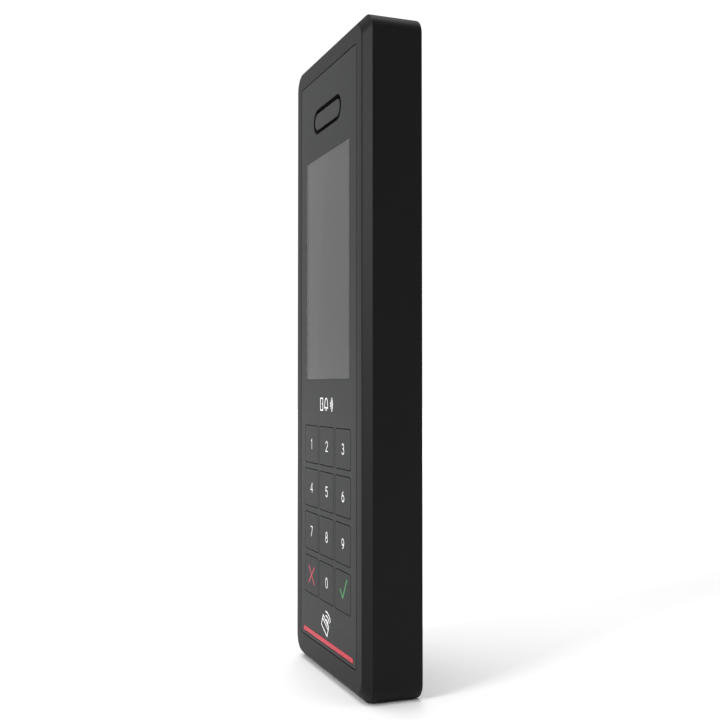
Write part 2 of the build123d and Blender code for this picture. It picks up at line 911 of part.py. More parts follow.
plunger_inner_end = main_board_back - tamper_height + plunger_well - plunger_travel - 0.3
with BuildPart() as tamper_plunger:
    extrude(
        circles(plunger_radius, bracket_thickness, tamper_at),
        amount=plunger_inner_end - bracket_thickness,
    )
    chamfer(tamper_plunger.faces().sort_by(Axis.Y)[-1].edges(), 0.3)
save(tamper_plunger, "tamper_plunger")

# Rear cover in the rim of the housing, on a silicone seal
with BuildPart() as rear_seal:
    extrude(
        rectangles(rim_width - 2 * fit_gap, rim_height - 2 * fit_gap, cover_front, rim_radius - fit_gap),
        amount=bond_thickness,
    )
    extrude(
        rectangles(inner_width, inner_height, cover_front, inner_radius),
        amount=bond_thickness,
        mode=Mode.SUBTRACT,
    )
save(rear_seal, "rear_seal")

hook_slot_height = 2 * hook_lip + bracket_thickness + 2.0
hook_slots = [(x, hook_z + hook_lip / 2) for x in (-hook_x, hook_x)]
tongue_z = bracket_bottom + bracket_thickness / 2
with BuildPart() as rear_cover:
    extrude(
        rectangles(rim_width - 2 * fit_gap, rim_height - 2 * fit_gap, cover_back, rim_radius - fit_gap),
        amount=cover_thickness,
    )
    extrude(
        rectangles(entry_width, entry_height, cover_back, 2.0, [(0, entry_z)]),
        amount=cover_thickness,
        mode=Mode.SUBTRACT,
    )
    extrude(
        rectangles(hook_width + 1.6, hook_slot_height, cover_back, 0.5, hook_slots),
        amount=cover_thickness,
        mode=Mode.SUBTRACT,
    )
    extrude(
        rectangles(tongue_width + 1.6, bracket_thickness + 0.8, cover_back, 0.3, [(0, tongue_z)]),
        amount=cover_thickness,
        mode=Mode.SUBTRACT,
    )
    extrude(
        circles(m3_shaft + through_gap, cover_back, cover_bosses),
        amount=cover_thickness,
        mode=Mode.SUBTRACT,
    )
    extrude(
        circles(plunger_radius + well_gap, cover_back, tamper_at),
        amount=cover_thickness,
        mode=Mode.SUBTRACT,
    )
save(rear_cover, "rear_cover")

# Foam seal round the cable entry, between the rear cover and the wall bracket
with BuildPart() as entry_seal:
    extrude(
        rectangles(
            entry_width + 2 * entry_seal_width,
            entry_height + 2 * entry_seal_width,
            bracket_thickness,
            2.0 + entry_seal_width,
            [(0, entry_z)],
        ),
        amount=cover_back - bracket_thickness,
    )
    extrude(
        rectangles(entry_width, entry_height, bracket_thickness, 2.0, [(0, entry_z)]),
        amount=cover_back - bracket_thickness,
        mode=Mode.SUBTRACT,
    )
save(entry_seal, "entry_seal")

# Wall bracket: a steel plate with wall screw holes, two hooks and a tongue for the security screw
hook_depth = cover_front + hook_gap
bracket_height = bracket_top - bracket_bottom
bracket_z = (bracket_top + bracket_bottom) / 2
with BuildPart() as wall_bracket:
    extrude(
        rectangles(bracket_width, bracket_height, 0, 4.0, [(0, bracket_z)]),
        amount=bracket_thickness,
    )
    extrude(
        rectangles(entry_width, entry_height, 0, 2.0, [(0, entry_z)]),
        amount=bracket_thickness,
        mode=Mode.SUBTRACT,
    )
    extrude(circles(wall_screw_hole_radius, 0, wall_screws), amount=bracket_thickness, mode=Mode.SUBTRACT)
    hook_arms = [(x, hook_z) for x in (-hook_x, hook_x)]
    extrude(
        rectangles(hook_width, bracket_thickness, bracket_thickness, 0, hook_arms),
        amount=hook_depth,
    )
    hook_lips = [(x, hook_z + (hook_lip + bracket_thickness) / 2) for x in (-hook_x, hook_x)]
    extrude(
        rectangles(hook_width, hook_lip, hook_depth, 0, hook_lips),
        amount=bracket_thickness,
    )
    extrude(
        rectangles(tongue_width, bracket_thickness, bracket_thickness, 0, [(0, tongue_z)]),
        amount=tongue_reach,
    )
    with Locations(Location((0, -security_screw_depth, tongue_z))):
        Cylinder(m3_shaft + screw_gap, 2 * bracket_thickness, mode=Mode.SUBTRACT)
save(wall_bracket, "wall_bracket")

# Security screw, from below through the bottom wall into the tongue of the bracket
screw_head_z = -body_height / 2 + 0.2
screw_tip_z = bracket_bottom + 3.0
with BuildPart() as security_screw:
    with BuildSketch(Plane.XY.offset(screw_head_z)) as screw_head:
        with Locations((0, -security_screw_depth)):
            Circle(m3_head)
    extrude(amount=m3_head_height)
    with BuildSketch(Plane.XY.offset(screw_head_z)) as screw_shaft:
        with Locations((0, -security_screw_depth)):
            Circle(m3_shaft)
    extrude(amount=screw_tip_z - screw_head_z)
    with BuildSketch(Plane.XY.offset(screw_head_z)) as screw_socket:
        with Locations((0, -security_screw_depth)):
            RegularPolygon(1.3, 6)
            Circle(0.4, mode=Mode.SUBTRACT)
    extrude(amount=1.0, mode=Mode.SUBTRACT)
save(security_screw, "security_screw")

# Fasteners, one node for each kind
camera_screws = make_screws(
    holder_screws, panel_back - holder_flange, m2_shaft, 2.9, m2_head, m2_head_height
)
save(camera_screws, "camera_screws")
display_screws = make_screws(
    frame_screws, frame_back, m2_shaft, frame_screw_length, m2_head, m2_head_height
)
save(display_screws, "display_screws")
keypad_screws = make_screws(
    keypad_screws_at, keypad_board_back, m2_shaft, 5.9, m2_head, m2_head_height
)
save(keypad_screws, "keypad_screws")
board_screws = make_screws(board_posts, main_board_back, m3_shaft, 7.5, m3_head, m3_head_height)
save(board_screws, "board_screws")
cover_screws = make_screws(cover_bosses, cover_back, m3_shaft, 9.0, m3_head, m3_head_height)
save(cover_screws, "cover_screws")
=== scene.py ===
import json
import math

import bmesh
import bpy
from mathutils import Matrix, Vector
from mathutils.geometry import tessellate_polygon


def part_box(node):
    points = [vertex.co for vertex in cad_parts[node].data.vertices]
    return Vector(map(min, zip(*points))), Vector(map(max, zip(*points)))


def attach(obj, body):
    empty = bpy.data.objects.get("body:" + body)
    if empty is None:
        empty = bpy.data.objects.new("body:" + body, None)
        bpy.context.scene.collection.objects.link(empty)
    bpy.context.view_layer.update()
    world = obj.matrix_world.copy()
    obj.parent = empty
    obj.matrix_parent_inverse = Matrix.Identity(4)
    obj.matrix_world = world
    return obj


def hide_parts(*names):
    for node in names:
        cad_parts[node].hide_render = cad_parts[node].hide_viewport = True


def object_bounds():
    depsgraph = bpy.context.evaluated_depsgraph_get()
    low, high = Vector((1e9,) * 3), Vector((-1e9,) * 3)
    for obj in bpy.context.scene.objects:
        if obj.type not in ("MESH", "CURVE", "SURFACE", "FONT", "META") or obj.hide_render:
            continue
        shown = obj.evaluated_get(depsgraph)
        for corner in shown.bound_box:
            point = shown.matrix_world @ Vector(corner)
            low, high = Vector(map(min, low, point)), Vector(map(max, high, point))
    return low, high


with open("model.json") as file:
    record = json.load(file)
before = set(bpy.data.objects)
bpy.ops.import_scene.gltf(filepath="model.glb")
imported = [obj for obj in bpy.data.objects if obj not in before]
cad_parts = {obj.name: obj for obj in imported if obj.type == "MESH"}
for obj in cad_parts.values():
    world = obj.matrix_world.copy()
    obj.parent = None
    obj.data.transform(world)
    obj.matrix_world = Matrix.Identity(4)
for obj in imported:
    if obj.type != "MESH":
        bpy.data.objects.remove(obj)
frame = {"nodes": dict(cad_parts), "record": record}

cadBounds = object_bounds()
mm = 0.001
scene = bpy.context.scene
scene.view_settings.view_transform = "Standard"

# the camera stands low at the right-hand edge and looks along the front
viewPoint = {
    "place": (0.46795, -0.19110, -0.01438),
    "turn": 69.03,  # degrees from straight at the front
    "tilt": 1.38,
    "lens": 51.06,
    "shift": (0.00275, 0.0051),
}


def setCamera(settings):
    camera = bpy.data.objects.new("camera", bpy.data.cameras.new("camera"))
    camera.data.lens = settings["lens"]
    camera.data.sensor_width = 36
    camera.data.shift_x, camera.data.shift_y = settings["shift"]
    camera.data.clip_start = 0.01
    camera.location = settings["place"]
    camera.rotation_euler = (math.radians(90 + settings["tilt"]), 0, math.radians(settings["turn"]))
    scene.collection.objects.link(camera)
    scene.camera = camera


setCamera(viewPoint)
print("camera set")


def smoothNormals(item, angle=35):
    # flats stay flat and rounds stay round: sharp edges by angle, then normals weighted by area
    for face in item.data.polygons:
        face.use_smooth = True
    item.data.set_sharp_from_angle(angle=math.radians(angle))
    weighted = item.modifiers.new("flatFaces", "WEIGHTED_NORMAL")
    weighted.keep_sharp = True
    weighted.weight = 100


def newPiece(name, mesh, material, body="root", stands=(), angle=35):
    mesh.validate()
    item = bpy.data.objects.new(name, mesh)
    scene.collection.objects.link(item)
    item.data.materials.append(material)
    smoothNormals(item, angle)
    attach(item, body)
    if stands:
        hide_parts(*stands)
    return item


def meshOf(name, build):
    # build fills a bmesh, which is then tidied and turned outwards
    work = bmesh.new()
    build(work)
    bmesh.ops.remove_doubles(work, verts=work.verts, dist=1e-7)
    bmesh.ops.recalc_face_normals(work, faces=work.faces)
    mesh = bpy.data.meshes.new(name)
    work.to_mesh(mesh)
    work.free()
    return mesh


def roundedOutline(width, height, radius, centre=(0, 0), steps=12):
    # corner points of a rounded rectangle seen from the front, anticlockwise, in metres
    radius = max(radius, 1e-6)
    points = []
    for quarter, (sideX, sideZ) in enumerate(((1, 1), (-1, 1), (-1, -1), (1, -1))):
        hubX = centre[0] + sideX * (width / 2 - radius)
        hubZ = centre[1] + sideZ * (height / 2 - radius)
        for step in range(steps + 1):
            angle = math.radians(90 * quarter + 90 * step / steps)
            points.append((hubX + radius * math.cos(angle), hubZ + radius * math.sin(angle)))
    return points


def insetOutline(size, inset, steps=12):
    # the same outline drawn in by inset, or out where inset is negative
    width, height, radius, centre = size
    return roundedOutline(width - 2 * inset, height - 2 * inset, radius - inset, centre, steps)


def softProfile(corners, radii, steps=5):
    # rounds the corners of an (inset, y) profile; the first and last points stay as they are
    points = [corners[0]]
    for before, here, after, radius in zip(corners, corners[1:], corners[2:], radii):
        if radius <= 0:
            points.append(here)
            continue
        spot = Vector(here)
        toBefore = (Vector(before) - spot).normalized()
        toAfter = (Vector(after) - spot).normalized()
        half = toBefore.angle(toAfter) / 2
        reach = radius / math.tan(half)
        hub = spot + (toBefore + toAfter).normalized() * (radius / math.sin(half))
        start = spot + toBefore * reach - hub
        end = spot + toAfter * reach - hub
        sweep = start.angle(end)
        for step in range(steps + 1):
            share = step / steps
            weightA = math.sin((1 - share) * sweep) / math.sin(sweep)
            weightB = math.sin(share * sweep) / math.sin(sweep)
            points.append(tuple(hub + start * weightA + end * weightB))
    points.append(corners[-1])
    return points


def addRings(work, rings, closeFirst=True, closeLast=True, joinEnds=False):
    made = [[work.verts.new(point) for point in ring] for ring in rings]
    pairs = list(zip(made, made[1:]))
    if joinEnds:
        pairs.append((made[-1], made[0]))
    for ring, following in pairs:
        count = len(ring)
        for index in range(count):
            corners = [ring[index], ring[(index + 1) % count]]
            corners += [following[(index + 1) % count], following[index]]
            work.faces.new(corners)
    if closeFirst and not joinEnds:
        work.faces.new(made[0][::-1])
    if closeLast and not joinEnds:
        work.faces.new(made[-1])


def loftRings(size, profile, steps=12):
    # one ring for each (inset, y) of the profile
    return [[(x, y, z) for x, z in insetOutline(size, inset, steps)] for inset, y in profile]


def solidLoft(name, size, profile, steps=12, joinEnds=False):
    return meshOf(name, lambda work: addRings(work, loftRings(size, profile, steps), joinEnds=joinEnds))


def platePiece(name, outer, holes, backY, frontY, edge, holeEdge, steps=10):
    # a flat plate with openings; its front edges are rounded by edge and those of holes by holeEdge
    def build(work):
        frontLoops, backLoops = [], []
        for number, size in enumerate([outer] + holes):
            side = 1 if number == 0 else -1
            turn = edge if number == 0 else holeEdge
            profile = [(0, backY), (0, frontY + turn)]
            for step in range(1, 4):
                angle = math.radians(30 * step)
                profile.append((side * turn * (1 - math.cos(angle)), frontY + turn * (1 - math.sin(angle))))
            rings = [[(x, y, z) for x, z in insetOutline(size, inset, steps)] for inset, y in profile]
            made = [[work.verts.new(point) for point in ring] for ring in rings]
            for ring, following in zip(made, made[1:]):
                for index in range(len(ring)):
                    nextIndex = (index + 1) % len(ring)
                    work.faces.new([ring[index], ring[nextIndex], following[nextIndex], following[index]])
            frontLoops.append(made[-1])
            backLoops.append(made[0])
        for loops in (frontLoops, backLoops):
            flat = [vert for loop in loops for vert in loop]
            outlines = [[Vector((vert.co.x, vert.co.z, 0)) for vert in loop] for loop in loops]
            for corners in tessellate_polygon(outlines):
                work.faces.new([flat[index] for index in corners])
    return meshOf(name, build)


def strokeMesh(name, lines, width, backY, frontY, lift=0.002 * mm):
    # flat ribbons with round ends along each line of (x, z) points; crossing ribbons differ in height
    def build(work):
        for number, line in enumerate(lines):
            front = frontY - number * lift
            points = [Vector(point) for point in line]
            closed = (points[0] - points[-1]).length < 1e-9
            if closed:
                points = points[:-1]
            left, right = [], []
            for index, point in enumerate(points):
                before = points[index - 1] if closed or index else None
                after = points[(index + 1) % len(points)] if closed or index < len(points) - 1 else None
                arrive = (point - before).normalized() if before is not None else None
                leave = (after - point).normalized() if after is not None else None
                along = ((arrive or leave) + (leave or arrive)).normalized()
                normal = Vector((-along.y, along.x))
                share = along.dot(arrive or leave)
                reach = width / 2 / max(share, 0.5)
                left.append(point + normal * reach)
                right.append(point - normal * reach)
            if closed:
                loops = [left, right]
            else:
                loops = [right + endCap(points[-1], right[-1], left[-1]) + left[::-1]
                         + endCap(points[0], left[0], right[0])]
            closedStrip(work, loops, backY, front)
    return meshOf(name, build)


def endCap(hub, start, end, steps=6):
    # points of the half circle from start to end about hub, ends left out
    radius = (start - hub).length
    first = math.atan2(start.y - hub.y, start.x - hub.x)
    angles = [first + math.pi * step / steps for step in range(1, steps)]
    return [hub + Vector((math.cos(angle), math.sin(angle))) * radius for angle in angles]


def closedStrip(work, loops, backY, frontY):
    made = []
    for loop in loops:
        back = [work.verts.new((p.x, backY, p.y)) for p in loop]
        front = [work.verts.new((p.x, frontY, p.y)) for p in loop]
        made.append((back, front))
        for index in range(len(loop)):
            following = (index + 1) % len(loop)
            work.faces.new([back[index], back[following], front[following], front[index]])
    if len(made) == 1:
        outlines = [[Vector((p.x, p.y, 0)) for p in loops[0]]]
        for side in (0, 1):
            for corners in tessellate_polygon(outlines):
                work.faces.new([made[0][side][index] for index in corners])
        return
    for side in (0, 1):
        inner, outer = made[0][side], made[1][side]
        for index in range(len(inner)):
            following = (index + 1) % len(inner)
            work.faces.new([inner[index], inner[following], outer[following], outer[index]])


def arcLine(centre, radiusX, radiusZ, fromAngle, toAngle, steps=18):
    return [(centre[0] + radiusX * math.cos(math.radians(fromAngle + (toAngle - fromAngle) * step / steps)),
             centre[1] + radiusZ * math.sin(math.radians(fromAngle + (toAngle - fromAngle) * step / steps)))
            for step in range(steps + 1)]


def shifted(lines, centre, scale=mm, turn=0.0):
    # moves lines drawn in millimetres about (0, 0) to a centre in metres
    cosine, sine = math.cos(math.radians(turn)), math.sin(math.radians(turn))
    return [[(centre[0] + scale * (x * cosine - z * sine), centre[1] + scale * (x * sine + z * cosine))
             for x, z in line] for line in lines]


def linearColour(hexValue):
    # sRGB hex to linear red, green, blue and alpha
    values = [int(hexValue[index:index + 2], 16) / 255 for index in (1, 3, 5)]
    return [v / 12.92 if v <= 0.04045 else ((v + 0.055) / 1.055) ** 2.4 for v in values] + [1.0]


def addNode(tree, kind, inputs=None, **settings):
    node = tree.nodes.new(kind)
    for key, value in settings.items():
        setattr(node, key, value)
    for socket, value in (inputs or {}).items():
        if isinstance(value, bpy.types.NodeSocket):
            tree.links.new(value, node.inputs[socket])
        else:
            node.inputs[socket].default_value = value
    return node


def startMaterial(name):
    material = bpy.data.materials.new(name)
    material.use_nodes = True
    material.node_tree.nodes.clear()
    return material, material.node_tree


def perMetre(sizeMm):
    # texture scale that makes one feature about sizeMm across
    return 1000.0 / sizeMm


def mouldedPlastic(name, look):
    # injection-moulded plastic from a spark-eroded tool: a fine even grain that breaks up reflections
    material, tree = startMaterial(name)
    place = addNode(tree, "ShaderNodeTexCoord").outputs["Object"]
    grain = addNode(tree, "ShaderNodeTexNoise", {
        "Vector": place, "Scale": perMetre(look["grain"]), "Detail": 3.0, "Roughness": 0.6})
    drift = addNode(tree, "ShaderNodeTexNoise", {
        "Vector": place, "Scale": perMetre(look["cloud"]), "Detail": 2.0})
    tint = addNode(tree, "ShaderNodeMix", {
        "Factor": drift.outputs["Fac"], "A": linearColour(look["dark"]), "B": linearColour(look["light"])},
        data_type="RGBA")
    shine = addNode(tree, "ShaderNodeMapRange", {
        "Value": grain.outputs["Fac"], "From Min": 0.3, "From Max": 0.7,
        "To Min": look["roughness"] - 0.04, "To Max": look["roughness"] + 0.05})
    bump = addNode(tree, "ShaderNodeBump", {
        "Height": grain.outputs["Fac"], "Strength": look["relief"], "Distance": look["grain"] * 0.25 * mm})
    surface = addNode(tree, "ShaderNodeBsdfPrincipled", {
        "Base Color": tint.outputs["Result"], "Roughness": shine.outputs["Result"],
        "Normal": bump.outputs["Normal"], "IOR": look.get("ior", 1.5),
        "Specular IOR Level": look.get("specular", 0.5),
        "Sheen Weight": look.get("sheen", 0.0), "Coat Weight": look.get("coat", 0.0),
        "Coat Roughness": look.get("coatRoughness", 0.1)})
    addNode(tree, "ShaderNodeOutputMaterial", {"Surface": surface.outputs["BSDF"]})
    return material


def printedInk(name, look):
    # pad-printed ink: a thin opaque film with a slightly uneven edge of gloss, which also gives off a faint
    # painted glow in its own light colour, though ink is no lamp
    material, tree = startMaterial(name)
    place = addNode(tree, "ShaderNodeTexCoord").outputs["Object"]
    film = addNode(tree, "ShaderNodeTexNoise", {"Vector": place, "Scale": perMetre(0.4), "Detail": 2.0})
    tint = addNode(tree, "ShaderNodeMix", {
        "Factor": film.outputs["Fac"], "A": linearColour(look["dark"]), "B": linearColour(look["light"])},
        data_type="RGBA")
    bump = addNode(tree, "ShaderNodeBump", {
        "Height": film.outputs["Fac"], "Strength": 0.1, "Distance": 0.01 * mm})
    # the emission is painted light: the ink glows faintly by itself
    surface = addNode(tree, "ShaderNodeBsdfPrincipled", {
        "Base Color": tint.outputs["Result"], "Normal": bump.outputs["Normal"],
        "Roughness": look["roughness"], "Emission Color": linearColour(look["light"]),
        "Emission Strength": look.get("glow", 0.0)})
    addNode(tree, "ShaderNodeOutputMaterial", {"Surface": surface.outputs["BSDF"]})
    return material


def sheetMetal(name, look):
    # rolled or plated sheet: metal with fine lines along the rolling direction and soft blotches
    material, tree = startMaterial(name)
    place = addNode(tree, "ShaderNodeTexCoord").outputs["Object"]
    stretch = addNode(tree, "ShaderNodeMapping", {"Vector": place, "Scale": look["stretch"]})
    lines = addNode(tree, "ShaderNodeTexNoise", {
        "Vector": stretch.outputs["Vector"], "Scale": perMetre(look["grain"]), "Detail": 3.0})
    blotch = addNode(tree, "ShaderNodeTexVoronoi", {"Vector": place, "Scale": perMetre(look["cloud"])})
    tint = addNode(tree, "ShaderNodeMix", {
        "Factor": blotch.outputs["Distance"], "A": linearColour(look["dark"]),
        "B": linearColour(look["light"])}, data_type="RGBA")
    shine = addNode(tree, "ShaderNodeMapRange", {
        "Value": lines.outputs["Fac"], "From Min": 0.3, "From Max": 0.7,
        "To Min": look["roughness"] - 0.08, "To Max": look["roughness"] + 0.08})
    bump = addNode(tree, "ShaderNodeBump", {
        "Height": lines.outputs["Fac"], "Strength": 0.25, "Distance": 0.02 * mm})
    surface = addNode(tree, "ShaderNodeBsdfPrincipled", {
        "Base Color": tint.outputs["Result"], "Metallic": 1.0, "Roughness": shine.outputs["Result"],
        "Normal": bump.outputs["Normal"]})
    addNode(tree, "ShaderNodeOutputMaterial", {"Surface": surface.outputs["BSDF"]})
    return material


def circuitBoard(name, look):
    # glass-fibre board under green solder mask: tracks show as slightly lighter raised lines
    material, tree = startMaterial(name)
    place = addNode(tree, "ShaderNodeTexCoord").outputs["Object"]
    tracks = addNode(tree, "ShaderNodeTexBrick", {
        "Vector": addNode(tree, "ShaderNodeMapping", {
            "Vector": place, "Rotation": (math.radians(90), 0, 0)}).outputs["Vector"],
        "Scale": perMetre(look["track"]), "Color1": linearColour(look["light"]),
        "Color2": linearColour(look["dark"]), "Mortar": linearColour(look["mask"]),
        "Mortar Size": 0.03, "Brick Width": 3.2, "Row Height": 0.5})
    bump = addNode(tree, "ShaderNodeBump", {
        "Height": tracks.outputs["Fac"], "Strength": 0.3, "Distance": 0.03 * mm})
    surface = addNode(tree, "ShaderNodeBsdfPrincipled", {
        "Base Color": tracks.outputs["Color"], "Roughness": 0.35, "Normal": bump.outputs["Normal"],
        "Coat Weight": 0.4, "Coat Roughness": 0.2})
    addNode(tree, "ShaderNodeOutputMaterial", {"Surface": surface.outputs["BSDF"]})
    return material


def clearPolycarbonate(name, look):
    # clear hard-coated window: the face behind shows through, and only its surface catches the light
    material, tree = startMaterial(name)
    place = addNode(tree, "ShaderNodeTexCoord").outputs["Object"]
    haze = addNode(tree, "ShaderNodeTexNoise", {
        "Vector": place, "Scale": perMetre(look["grain"]), "Detail": 2.0})
    bump = addNode(tree, "ShaderNodeBump", {
        "Height": haze.outputs["Fac"], "Strength": 0.05, "Distance": 0.01 * mm})
    clear = addNode(tree, "ShaderNodeBsdfTransparent", {"Color": linearColour(look["tint"])})
    gloss = addNode(tree, "ShaderNodeBsdfGlossy", {
        "Roughness": look["roughness"], "Normal": bump.outputs["Normal"]})
    share = addNode(tree, "ShaderNodeFresnel", {"IOR": look["ior"], "Normal": bump.outputs["Normal"]})
    both = addNode(tree, "ShaderNodeMixShader", {
        "Fac": share.outputs["Fac"], 1: clear.outputs["BSDF"], 2: gloss.outputs["BSDF"]})
    addNode(tree, "ShaderNodeOutputMaterial", {"Surface": both.outputs["Shader"]})
    return material


def translucentAcrylic(name, look):
    # extruded opal acrylic over lamps: light wanders inside, so the edges look darker than the middle
    material, tree = startMaterial(name)
    place = addNode(tree, "ShaderNodeTexCoord").outputs["Object"]
    drift = addNode(tree, "ShaderNodeTexNoise", {
        "Vector": place, "Scale": perMetre(look["cloud"]), "Detail": 2.0})
    tint = addNode(tree, "ShaderNodeMix", {
        "Factor": drift.outputs["Fac"], "A": linearColour(look["dark"]), "B": linearColour(look["light"])},
        data_type="RGBA")
    fine = addNode(tree, "ShaderNodeTexNoise", {"Vector": place, "Scale": perMetre(look["grain"])})
    bump = addNode(tree, "ShaderNodeBump", {
        "Height": fine.outputs["Fac"], "Strength": 0.1, "Distance": 0.02 * mm})
    surface = addNode(tree, "ShaderNodeBsdfPrincipled", {
        "Base Color": tint.outputs["Result"], "Roughness": look["roughness"],
        "Normal": bump.outputs["Normal"], "Emission Color": linearColour(look["light"]),
        "Emission Strength": look["glow"], "Specular IOR Level": 0.2,
        "Subsurface Weight": 0.3, "Subsurface Radius": (1.5 * mm, 0.3 * mm, 0.3 * mm)})
    addNode(tree, "ShaderNodeOutputMaterial", {"Surface": surface.outputs["BSDF"]})
    return material


plasticLooks = {
    # black ABS moulded in a spark-finished tool: a deep, even satin black
    "housing_plastic": ("mouldedBlackAbs", {
        "dark": "#0b0b0c", "light": "#0e0e0f", "grain": 0.35, "cloud": 30, "roughness": 0.48, "relief": 0.35,
        "specular": 0.14}),
    # rear ABS from a coarser tool: duller and a little greyer than the front
    "cover_plastic": ("texturedRearAbs", {
        "dark": "#151516", "light": "#19191a", "grain": 0.6, "cloud": 25, "roughness": 0.6, "relief": 0.5}),
    # silky dark grey fascia: smoother than the housing, so it takes more of the window light
    "panel_plastic": ("satinGreyPolycarbonate", {
        "dark": "#18191a", "light": "#1b1c1d", "grain": 0.22, "cloud": 40, "roughness": 0.44, "relief": 0.2,
        "specular": 0.12}),
    # the same polycarbonate moulded as key caps, so the keys match the panel round them
    "key_plastic": ("satinKeyPolycarbonate", {
        "dark": "#18191a", "light": "#1b1c1d", "grain": 0.22, "cloud": 15, "roughness": 0.45, "relief": 0.2,
        "specular": 0.12}),
    # smoked acrylic over the camera: smooth and nearly as dark as the panel
    "island_plastic": ("smokedAcrylic", {
        "dark": "#161718", "light": "#191a1b", "grain": 0.3, "cloud": 20, "roughness": 0.4, "relief": 0.08,
        "specular": 0.12}),
    # matt black nylon inside the camera groove, made darker than the other black parts as painted shade so
    # the groove reads black
    "holder_plastic": ("blackNylonWithPaintedShade", {
        "dark": "#060606", "light": "#080808", "grain": 0.3, "cloud": 10, "roughness": 0.75, "relief": 0.4}),
    # unlit polariser film behind the window: a flat neutral grey
    "display_face": ("polariserFilm", {
        "dark": "#454646", "light": "#484949", "grain": 0.15, "cloud": 60, "roughness": 0.5, "relief": 0.05}),
    # lamps cast in clear resin over yellow phosphor: small pale yellow domes
    "lamp_resin": ("clearLampResin", {
        "dark": "#d9cf92", "light": "#efe6b4", "grain": 0.3, "cloud": 3, "roughness": 0.25, "relief": 0.1}),
    # pressed pulp and moulded plastic of the loudspeaker: rough and dull
    "speaker_plastic": ("mouldedSpeakerPulp", {
        "dark": "#101010", "light": "#1a1a1a", "grain": 0.8, "cloud": 6, "roughness": 0.8, "relief": 0.7}),
    # die-cut closed-cell foam: small pores and no shine
    "foam": ("closedCellFoam", {
        "dark": "#191919", "light": "#262626", "grain": 0.5, "cloud": 4, "roughness": 0.95, "relief": 0.9,
        "sheen": 0.2}),
    # moulded silicone rubber: soft grey with a faint bloom
    "silicone": ("mouldedSilicone", {
        "dark": "#3a3b3d", "light": "#424346", "grain": 0.4, "cloud": 12, "roughness": 0.6, "relief": 0.2,
        "ior": 1.41, "sheen": 0.15}),
    # chips moulded in filled epoxy: matt, very fine grain
    "chip_resin": ("mouldedEpoxy", {
        "dark": "#17181a", "light": "#202124", "grain": 0.25, "cloud": 4, "roughness": 0.65, "relief": 0.4}),
    # sintered ferrite sheet: dull dark grey like slate
    "ferrite": ("sinteredFerrite", {
        "dark": "#323336", "light": "#3d3e42", "grain": 0.3, "cloud": 8, "roughness": 0.7, "relief": 0.5}),
    # relay case moulded in blue PBT: strong colour, half gloss
    "relay_case": ("mouldedBluePbt", {
        "dark": "#163f8f", "light": "#1c4ba3", "grain": 0.4, "cloud": 10, "roughness": 0.4, "relief": 0.2}),
    # moulded ivory nylon sockets: warm and slightly waxy
    "socket_plastic": ("mouldedIvoryNylon", {
        "dark": "#cfc6ae", "light": "#ddd5c0", "grain": 0.4, "cloud": 6, "roughness": 0.5, "relief": 0.2}),
    # polyimide film laminated over copper: glossy amber
    "flex_film": ("amberPolyimide", {
        "dark": "#a2571b", "light": "#b56a26", "grain": 0.6, "cloud": 5, "roughness": 0.25, "relief": 0.1,
        "coat": 0.5}),
    # terminal block moulded in green polyamide: even green, half gloss
    "terminal_plastic": ("mouldedGreenPolyamide", {
        "dark": "#1c6a38", "light": "#227a42", "grain": 0.4, "cloud": 8, "roughness": 0.45, "relief": 0.25}),
    # natural acetal, moulded: milky white and slippery
    "plunger_plastic": ("naturalAcetal", {
        "dark": "#d6d5cf", "light": "#e3e2dc", "grain": 0.5, "cloud": 5, "roughness": 0.35, "relief": 0.1}),
}
metalLooks = {
    # cold-rolled steel: fine upright lines from the rollers
    "steel": ("rolledSteelSheet", {
        "dark": "#8f9295", "light": "#a5a8ab", "grain": 0.25, "cloud": 5, "roughness": 0.32,
        "stretch": (1, 1, 0.05)}),
    # zinc plating: grey, slightly mottled crystals and a soft reflection
    "zinc_steel": ("zincPlatedSteel", {
        "dark": "#999b9d", "light": "#a3a5a7", "grain": 0.5, "cloud": 2.5, "roughness": 0.4,
        "stretch": (1, 1, 0.08)}),
    # zinc-plated screws, barrel plated: brighter and smoother than the bracket
    "screw_steel": ("zincPlatedScrews", {
        "dark": "#8c9094", "light": "#b0b3b6", "grain": 0.2, "cloud": 1.5, "roughness": 0.28,
        "stretch": (1, 1, 1)}),
    # deep-drawn aluminium cans: pale, with faint lines along the draw
    "aluminium_can": ("drawnAluminium", {
        "dark": "#b9bbbd", "light": "#cfd1d3", "grain": 0.3, "cloud": 6, "roughness": 0.3,
        "stretch": (1, 0.05, 1)}),
}
finishes = {slot: mouldedPlastic(name, look) for slot, (name, look) in plasticLooks.items()}
finishes.update({slot: sheetMetal(name, look) for slot, (name, look) in metalLooks.items()})
finishes["circuit_board"] = circuitBoard("solderMaskedFibreglass", {
    "track": 2.2, "dark": "#0d4a2a", "light": "#11552f", "mask": "#1c7443"})
finishes["window_clear"] = clearPolycarbonate("hardCoatedPolycarbonate", {
    "tint": "#f8f8f8", "grain": 6, "roughness": 0.22, "ior": 1.36})
finishes["red_diffuser"] = translucentAcrylic("redOpalAcrylic", {
    "dark": "#98192a", "light": "#ab2032", "cloud": 12, "grain": 0.5, "roughness": 0.35, "glow": 0.2})
# the glow of each ink is painted light, a faint shine of its own with no lamp behind it
inks = {
    "white": printedInk("whitePrintedInk", {
        "dark": "#d3d4d4", "light": "#e8e8e8", "roughness": 0.5, "glow": 0.1}),
    "red": printedInk("redPrintedInk", {
        "dark": "#a02638", "light": "#b02c40", "roughness": 0.5, "glow": 0.1}),
    "green": printedInk("greenPrintedInk", {
        "dark": "#27803f", "light": "#2f8f4a", "roughness": 0.5, "glow": 0.1}),
}
print("materials made", len(finishes) + len(inks))

slotOf = {entry["node"]: entry["material_slot"] for entry in frame["record"]["subparts"]}
for node, item in frame["nodes"].items():
    item.data.materials.clear()
    item.data.materials.append(finishes[slotOf[node]])
print("frame nodes finished", len(slotOf))


def sizeOf(node, radius):
    # (width, height, corner radius, centre) of a node seen from the front
    low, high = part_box(node)
    return (high.x - low.x, high.z - low.z, radius, ((high.x + low.x) / 2, (high.z + low.z) / 2))


